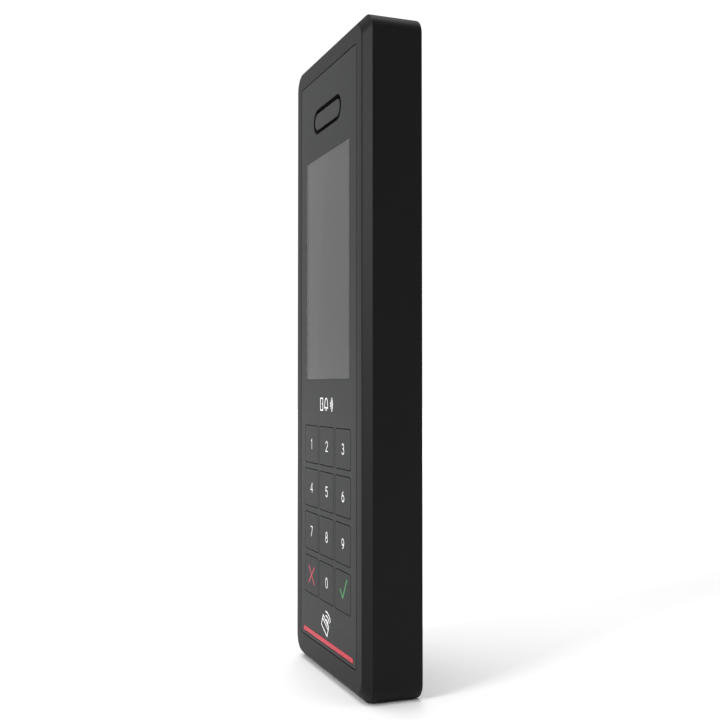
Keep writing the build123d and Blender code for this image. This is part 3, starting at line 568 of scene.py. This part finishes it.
housingLook = {
    "corner": 7.6 * mm,
    "bevel": 3.8 * mm,
    "bevelSoftening": 0.45 * mm,
    "faceSoftening": 1.6 * mm,
    "backRound": 0.8 * mm,
    "wall": 3.0 * mm,
    "rimWall": 1.5 * mm,
    "rimDepth": 5.7 * mm,
    "panelGap": 0.35 * mm,
    "ledge": 3.0 * mm,
    "ledgeThickness": 3.0 * mm,
    "pocketCorner": 1.95 * mm,
    "openingCorner": 1.0 * mm,
    "pocketEdge": 0.15 * mm,
    "screwHeadRadius": 3.0 * mm,
    "screwHeadDepth": 1.7 * mm,
    "screwShaftRadius": 1.7 * mm,
    "soundHoleRadius": 0.8 * mm,
    "throughDepth": 4.5 * mm,  # further than the wall is thick
}


def makeHousing(look):
    low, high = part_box("front_housing")
    panelLow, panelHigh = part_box("front_panel")
    outer = sizeOf("front_housing", look["corner"])
    frontY, backY = low.y, high.y
    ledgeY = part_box("panel_gasket")[1].y
    ledgeBackY = ledgeY + look["ledgeThickness"]
    pocket = (panelHigh.x - panelLow.x + 2 * look["panelGap"],
              panelHigh.z - panelLow.z + 2 * look["panelGap"],
              look["pocketCorner"], (0, (panelHigh.z + panelLow.z) / 2))
    opening = (pocket[0] - 2 * look["panelGap"] - 2 * look["ledge"],
               pocket[1] - 2 * look["panelGap"] - 2 * look["ledge"], look["openingCorner"], pocket[3])
    outside = softProfile(
        [(look["rimWall"], backY), (0, backY), (0, frontY + look["bevel"]), (look["bevel"], frontY),
         (look["bevel"] + 2 * mm, frontY)],
        [look["backRound"], look["bevelSoftening"], look["faceSoftening"]])
    width, height, corner, centre = outer
    rings = []
    for inset, y in outside[:-1]:
        # the corner radius stays the same up the bevel, so the bevel is broader at the corners
        grown = corner - inset if y > frontY + look["bevel"] + look["bevelSoftening"] else corner
        outline = roundedOutline(width - 2 * inset, height - 2 * inset, grown, centre)
        rings.append([(x, y, z) for x, z in outline])
    edge = look["pocketEdge"]
    rings += [[(x, y, z) for x, z in insetOutline(pocket, inset)] for inset, y in (
        (-edge, frontY), (-edge * 0.3, frontY + edge * 0.3), (0, frontY + edge), (0, ledgeY))]
    rings += [[(x, y, z) for x, z in insetOutline(opening, 0)] for y in (ledgeY, ledgeBackY)]
    rings += loftRings(outer, [
        (look["wall"], ledgeBackY), (look["wall"], backY - look["rimDepth"]),
        (look["rimWall"], backY - look["rimDepth"])])
    mesh = meshOf("housing", lambda work: addRings(work, rings, joinEnds=True))
    return newPiece("housing_shell", mesh, finishes["housing_plastic"], "root", ["front_housing"])


def cutHole(item, name, x, y, fromZ, toZ, radius):
    # cuts a round hole along Z
    cutter = bpy.data.objects.new(name, meshOf(name, lambda work: addRings(work, [
        [(x + radius * math.cos(math.tau * step / 40), y + radius * math.sin(math.tau * step / 40), z)
         for step in range(40)] for z in (fromZ, toZ)])))
    scene.collection.objects.link(cutter)
    cut = item.modifiers.new(name, "BOOLEAN")
    cut.object = cutter
    cut.operation = "DIFFERENCE"
    cut.solver = "EXACT"
    return cutter


def applyCuts(item, cutters):
    # bakes the cuts into the mesh, then takes the cutters away
    item.modifiers["flatFaces"].show_viewport = False
    bpy.context.view_layer.update()
    shaped = bpy.data.meshes.new_from_object(item.evaluated_get(bpy.context.evaluated_depsgraph_get()))
    item.modifiers.clear()
    item.data = shaped
    for cutter in cutters:
        bpy.data.objects.remove(cutter)
    smoothNormals(item)


housing = makeHousing(housingLook)
screwLow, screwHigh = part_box("security_screw")
micLow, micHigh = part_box("microphone")
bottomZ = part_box("front_housing")[0].z
screwX, screwY = (screwLow.x + screwHigh.x) / 2, (screwLow.y + screwHigh.y) / 2
micX, micY = (micLow.x + micHigh.x) / 2, (micLow.y + micHigh.y) / 2
belowZ = bottomZ - 1 * mm  # clear of the surface, so each cut is clean
headZ = bottomZ + housingLook["screwHeadDepth"]
throughZ = bottomZ + housingLook["throughDepth"]
applyCuts(housing, [
    cutHole(housing, "headCut", screwX, screwY, belowZ, headZ, housingLook["screwHeadRadius"]),
    cutHole(housing, "shaftCut", screwX, screwY, belowZ, throughZ, housingLook["screwShaftRadius"]),
    cutHole(housing, "soundCut", micX, micY, belowZ, throughZ, housingLook["soundHoleRadius"]),
])
print("housing made")


panelLook = {
    "corner": 1.6 * mm,
    "edge": 0.25 * mm,
    "openingEdge": 0.12 * mm,
    "thickness": 3.0 * mm,
    "windowGap": 0.05 * mm,
    "displayGap": 0.2 * mm,
    "displayCorner": 0.5 * mm,
    "groove": 2.0 * mm,
    "grooveOverlap": 0.05 * mm,
    "barGap": 0.1 * mm,
    "barLip": 0.8 * mm,
}
keyNames = ["1", "2", "3", "4", "5", "6", "7", "8", "9", "cancel", "0", "confirm"]
keyLook = {
    "width": 20.4 * mm,
    "height": 18.5 * mm,
    "corner": 1.1 * mm,
    "sideGap": 0.2 * mm,
    "endGap": 0.3 * mm,
    "edgeRound": 0.15 * mm,
    "lipThickness": 1.0 * mm,
    "postRadius": 1.6 * mm,
}


def keyCentre(name):
    low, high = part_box("key_" + name)
    return (low.x + high.x) / 2, (low.z + high.z) / 2


def makePanel(look):
    outer = sizeOf("front_panel", look["corner"])
    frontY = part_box("front_panel")[0].y
    backY = frontY + look["thickness"]
    windowLow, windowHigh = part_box("display_window")
    skinBackY = windowHigh.y
    gap = look["windowGap"]
    screenSize = (windowHigh.x - windowLow.x + 2 * gap, windowHigh.z - windowLow.z + 2 * gap, gap,
                  (0, (windowLow.z + windowHigh.z) / 2))
    backLow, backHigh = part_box("display_backlight")
    gap = look["displayGap"]
    pocketSize = (backHigh.x - backLow.x + 2 * gap, backHigh.z - backLow.z + 2 * gap, look["displayCorner"],
                  (0, (backLow.z + backHigh.z) / 2))
    islandLow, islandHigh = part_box("camera_window")
    pillHeight = islandHigh.z - islandLow.z + 2 * look["groove"] + 2 * look["grooveOverlap"]
    pillWidth = islandHigh.x - islandLow.x + 2 * look["groove"] - 2 * look["grooveOverlap"]
    pillSize = (pillWidth, pillHeight, pillHeight / 2, (0, (islandLow.z + islandHigh.z) / 2))
    keyHoles = [(keyLook["width"] + 2 * keyLook["sideGap"], keyLook["height"] + 2 * keyLook["endGap"],
                 keyLook["corner"] + keyLook["sideGap"], keyCentre(name)) for name in keyNames]
    barLow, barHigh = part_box("light_bar")
    shrink = 2 * look["barLip"] - 2 * look["barGap"]
    barHeight = barHigh.z - barLow.z - shrink
    barSize = (barHigh.x - barLow.x - shrink, barHeight, barHeight / 2, (0, (barLow.z + barHigh.z) / 2))
    openings = [pillSize, barSize] + keyHoles
    skin = platePiece("panelSkin", outer, [screenSize] + openings, skinBackY, frontY,
                      look["edge"], look["openingEdge"])
    newPiece("panel_skin", skin, finishes["panel_plastic"], "root", ["front_panel"])
    body = platePiece("panelBody", outer, [pocketSize] + openings, backY, skinBackY, 0.01 * mm, 0.01 * mm)
    newPiece("panel_body", body, finishes["panel_plastic"], "root", ["front_panel"])


makePanel(panelLook)
print("panel made")


islandLook = {"edge": 0.5 * mm}


def makeIsland(look):
    low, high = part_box("camera_window")
    size = sizeOf("camera_window", (high.z - low.z) / 2 - 1e-6)
    profile = softProfile([(0, high.y), (0, low.y), (1.5 * mm, low.y)], [look["edge"]], steps=8)
    mesh = solidLoft("island", size, profile, steps=24)
    newPiece("camera_island", mesh, finishes["island_plastic"], "root", ["camera_window"])


makeIsland(islandLook)
print("camera island made")


def makeKey(name, look):
    low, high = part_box("key_" + name)
    centre = keyCentre(name)
    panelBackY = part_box("front_panel")[0].y + panelLook["thickness"]
    cap = (look["width"], look["height"], look["corner"], centre)
    lipInset = -(high.x - low.x - look["width"]) / 2
    profile = [(lipInset, panelBackY + look["lipThickness"]), (lipInset, panelBackY)]
    profile += softProfile([(0, panelBackY), (0, low.y), (2 * mm, low.y)], [look["edgeRound"]], steps=6)
    mesh = solidLoft("key", cap, profile, steps=8)
    body = f"key_{name}_body"
    newPiece(f"keycap_{name}", mesh, finishes["key_plastic"], body, ["key_" + name])
    radius = look["postRadius"]
    around = [math.tau * step / 32 for step in range(32)]
    post = meshOf("post", lambda work: addRings(work, [
        [(centre[0] + radius * math.cos(angle), y, centre[1] + radius * math.sin(angle)) for angle in around]
        for y in (panelBackY + look["lipThickness"], high.y)]))
    newPiece(f"keypost_{name}", post, finishes["key_plastic"], body, ["key_" + name])


markLook = {"height": 5.2, "stroke": 0.48, "crossSize": (8.6, 8.4), "tickStroke": 0.75,
            "pictureStroke": 0.62, "proud": 0.015 * mm}
# centre lines of the marks in millimetres about (0, 0)
reach = markLook["height"] / 2 - markLook["stroke"] / 2
upper, lower = 1.12, 1.24
digitLines = {
    "0": [arcLine((0, 0), 1.42, reach, 0, 360, 36)],
    "1": [[(-0.8, reach - 0.8), (0.2, reach), (0.2, -reach)]],
    "2": [arcLine((0, reach - 1.32), 1.34, 1.32, 165, -35) + [(-1.4, -reach), (1.5, -reach)]],
    "3": [arcLine((-0.05, reach - upper), 1.25, upper, 155, -90),
          arcLine((-0.05, -reach + lower), 1.42, lower, 90, -155)],
    "4": [[(0.75, -reach), (0.75, reach), (-1.55, -0.95), (1.6, -0.95)]],
    "5": [[(1.2, reach), (-1.05, reach), (-1.2, 0.2)]
          + arcLine((-0.05, -reach + 1.54), 1.42, 1.54, 125, -150)],
    "6": [arcLine((0.05, -reach + 1.45), 1.42, 1.45, 0, 360, 30),
          arcLine((1.42, -reach + 1.45), 2.79, 3.26, 180, 112)],
    "7": [[(-1.42, reach), (1.42, reach), (-0.5, -reach)]],
    "8": [arcLine((0, reach - 1.12), 1.16, 1.12, 0, 360, 30),
          arcLine((0, -reach + 1.26), 1.4, 1.26, 0, 360, 30)],
    "9": [arcLine((-0.05, reach - 1.45), 1.42, 1.45, 0, 360, 30),
          arcLine((-1.42, reach - 1.45), 2.79, 3.26, 0, -68)],
}
crossX, crossZ = [0.5 * side for side in markLook["crossSize"]]
crossLines = [[(-crossX, crossZ), (crossX, -crossZ)], [(-crossX, -crossZ), (crossX, crossZ)]]
tickLines = [[(-3.7, 0.6), (-0.1, -2.9), (5.2, 6.2)]]


def printMark(name, lines, centre, ink, stroke, surfaceY, body, turn=0.0):
    frontY = surfaceY - markLook["proud"]
    mesh = strokeMesh(name, shifted(lines, centre, turn=turn), stroke * mm, surfaceY, frontY)
    newPiece(name, mesh, inks[ink], body)


for keyName in keyNames:
    makeKey(keyName, keyLook)
    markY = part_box("key_" + keyName)[0].y
    keyBody = f"key_{keyName}_body"
    if keyName in digitLines:
        printMark(f"mark_{keyName}", digitLines[keyName], keyCentre(keyName), "white",
                  markLook["stroke"], markY, keyBody)
    elif keyName == "cancel":
        printMark("mark_cross", crossLines, keyCentre(keyName), "red", markLook["tickStroke"], markY,
                  keyBody)
    else:
        printMark("mark_tick", tickLines, keyCentre(keyName), "green", markLook["tickStroke"], markY,
                  keyBody)
print("keys made", len(keyNames))

# small pictures printed on the panel: bell, door and sound waves, and the card with its waves
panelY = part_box("front_panel")[0].y
bellLines = [arcLine((0, 0.6), 1.9, 2.3, 0, 180) + [(-2.4, -1.7), (2.4, -1.7), (1.9, 0.6)],
             [(-0.6, -2.7), (0.6, -2.7)]]
doorLines = [[(-1.8, -2.9), (-1.8, 2.9), (1.8, 2.9), (1.8, -2.9), (-1.8, -2.9)], [(0.8, -0.1), (0.8, 0.1)]]
waveLines = [arcLine((-2.2, 0), radius, radius, -48, 48, 12) for radius in (1.2, 2.7, 4.2)]
cardLines = [[(-4.6, -2.8), (4.6, -2.8), (4.6, 2.8), (-4.6, 2.8), (-4.6, -2.8)], [(-4.6, 1.0), (4.6, 1.0)]]
cardWaves = [arcLine((0, 0), radius, radius, 30, 95, 12) for radius in (3.2, 5.2, 7.2)]
pictures = {
    "picture_door": (doorLines, (-7.6, -22.2), 0.0),
    "picture_bell": (bellLines, (-0.8, -22.2), 0.0),
    "picture_waves": (waveLines, (6.6, -22.2), 0.0),
    "picture_card": (cardLines, (-2.2, -129.2), -28.0),
    "picture_card_waves": (cardWaves, (-0.6, -129.4), 0.0),
}
for name, (lines, (x, z), turn) in pictures.items():
    printMark(name, lines, (x * mm, z * mm), "white", markLook["pictureStroke"], panelY, "root",
              turn)
print("pictures made", len(pictures))


barLook = {"edge": 0.3 * mm, "lip": panelLook["barLip"]}


def makeBar(look):
    low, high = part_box("light_bar")
    lip = look["lip"]
    height = high.z - low.z - 2 * lip
    size = (high.x - low.x - 2 * lip, height, height / 2 - 1e-6, (0, (low.z + high.z) / 2))
    backY = low.y + panelLook["thickness"]
    profile = [(-lip, high.y), (-lip, backY)]
    profile += softProfile([(0, backY), (0, low.y), (1.2 * mm, low.y)], [look["edge"]], steps=6)
    newPiece("red_light_bar", solidLoft("bar", size, profile, steps=16), finishes["red_diffuser"], "root",
             ["light_bar"])


makeBar(barLook)
print("light bar made")


floorLook = {
    "dark": "#e8e8e9",
    "light": "#ebebeb",
    "size": 6.0,
    # the floor gives off a painted glow that grows with distance from the object, up to the glow value at the
    # far end
    "paintedGlowNear": 0.4,  # metres from the object where the floor starts to brighten
    "paintedGlowFar": 2.4,
    "glow": 0.45,
}
# name, place, target, width and height, brightness
softboxes = [
    ("frontSoftbox", (0.56, -1.42, 0.5), (0, 0, 0.05), (0.5, 0.5), 29.0),  # lights the near bevel
    ("leftSoftbox", (-1.5, -0.75, 0.35), (0, 0, 0.05), (1.3, 1.5), 1.0),  # reflected along the front
    ("rimSoftbox", (-1.6, 0.64, 0.78), (0, 0, 0.14), (1.0, 1.0), 1.3),
    ("backSoftbox", (1.0, 1.4, 0.8), (0, 0, 0), (1.6, 1.3), 0.8),
]


def makeFloor(level, look):
    # painted white: soft grey where the object stands, brightening into white in the distance through a
    # painted glow in its emission, not through light
    material, tree = startMaterial("whiteFloorWithPaintedGlow")
    place = addNode(tree, "ShaderNodeTexCoord").outputs["Object"]
    cloud = addNode(tree, "ShaderNodeTexNoise", {"Vector": place, "Scale": 3.0})
    tint = addNode(tree, "ShaderNodeMix", {
        "Factor": cloud.outputs["Fac"], "A": linearColour(look["dark"]), "B": linearColour(look["light"])},
        data_type="RGBA")
    away = addNode(tree, "ShaderNodeVectorMath", {0: place}, operation="LENGTH")
    # painted light: emission that grows with distance from the object, so the far floor glows white and the
    # floor by the object stays greyer
    sweep = addNode(tree, "ShaderNodeMapRange", {
        "Value": away.outputs["Value"], "From Min": look["paintedGlowNear"], "From Max": look["paintedGlowFar"],
        "To Min": 0.0, "To Max": look["glow"]},
        interpolation_type="SMOOTHSTEP")
    surface = addNode(tree, "ShaderNodeBsdfPrincipled", {
        "Base Color": tint.outputs["Result"], "Roughness": 0.6, "Emission Color": linearColour("#ffffff"),
        "Emission Strength": sweep.outputs["Result"]})
    addNode(tree, "ShaderNodeOutputMaterial", {"Surface": surface.outputs["BSDF"]})
    mesh = meshOf("floor", lambda work: bmesh.ops.create_grid(
        work, x_segments=8, y_segments=8, size=look["size"]))
    floor = bpy.data.objects.new("floor", mesh)
    floor.location = (0, 0, level)
    floor.data.materials.append(material)
    scene.collection.objects.link(floor)


def addSoftbox(name, place, target, size, radiance):
    lamp = bpy.data.lights.new(name, "AREA")
    lamp.shape = "RECTANGLE"
    lamp.size, lamp.size_y = size
    lamp.energy = radiance * math.pi * size[0] * size[1]
    item = bpy.data.objects.new(name, lamp)
    item.location = place
    item.rotation_euler = (Vector(target) - Vector(place)).to_track_quat("-Z", "Y").to_euler()
    scene.collection.objects.link(item)


def addSkylight(name, direction, spread, energy):
    # a broad even light from above, the same all over the floor
    lamp = bpy.data.lights.new(name, "SUN")
    lamp.energy = energy
    lamp.angle = math.radians(spread)
    item = bpy.data.objects.new(name, lamp)
    item.rotation_euler = Vector(direction).to_track_quat("-Z", "Y").to_euler()
    scene.collection.objects.link(item)


def setWorld(shown, ambient):
    world = bpy.data.worlds.new("studio")
    world.use_nodes = True
    tree = world.node_tree
    tree.nodes.clear()
    seen = addNode(tree, "ShaderNodeBackground", {"Color": linearColour("#ffffff"), "Strength": shown})
    felt = addNode(tree, "ShaderNodeBackground", {"Color": linearColour("#ffffff"), "Strength": ambient})
    path = addNode(tree, "ShaderNodeLightPath")
    both = addNode(tree, "ShaderNodeMixShader", {
        "Fac": path.outputs["Is Camera Ray"], 1: felt.outputs["Background"], 2: seen.outputs["Background"]})
    addNode(tree, "ShaderNodeOutputWorld", {"Surface": both.outputs["Shader"]})
    scene.world = world


makeFloor(cadBounds[0][2], floorLook)
setWorld(1.05, 0.12)
for softbox in softboxes:
    addSoftbox(*softbox)
addSkylight("skylight", (0.12, 0.08, -1.0), 60, 3.1)
print("floor and lights set")
